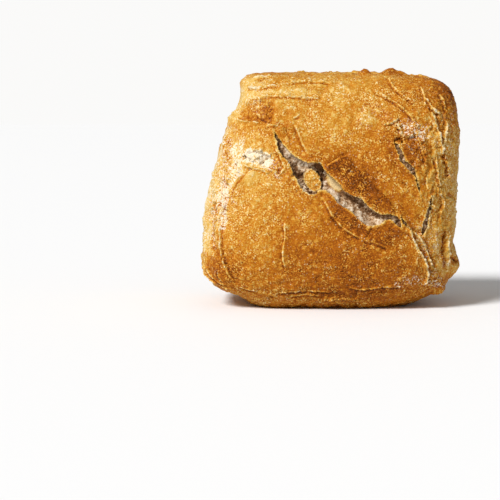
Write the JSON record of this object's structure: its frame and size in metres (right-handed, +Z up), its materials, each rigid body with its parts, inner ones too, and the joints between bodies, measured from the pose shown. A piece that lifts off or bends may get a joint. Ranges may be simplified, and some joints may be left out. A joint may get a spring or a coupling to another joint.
{
  "type": "bread roll",
  "caption": "Rustic square bread roll: a tapered, pillow-like baked block with a long open tear across its front crust, standing on a small flat spot.",
  "frame": {"origin": "under the middle of the roll's box, on the plane of the small flat spot that it stands on", "axes": "+Z up, +X to the right across the torn front crust, -Y out of the torn front crust"},
  "size_m": [0.0914, 0.0662, 0.0812],
  "materials": {
    "crust": "matte"
  },
  "bodies": {
    "root": {"bread_roll": "crust"}
  },
  "joints": []
}
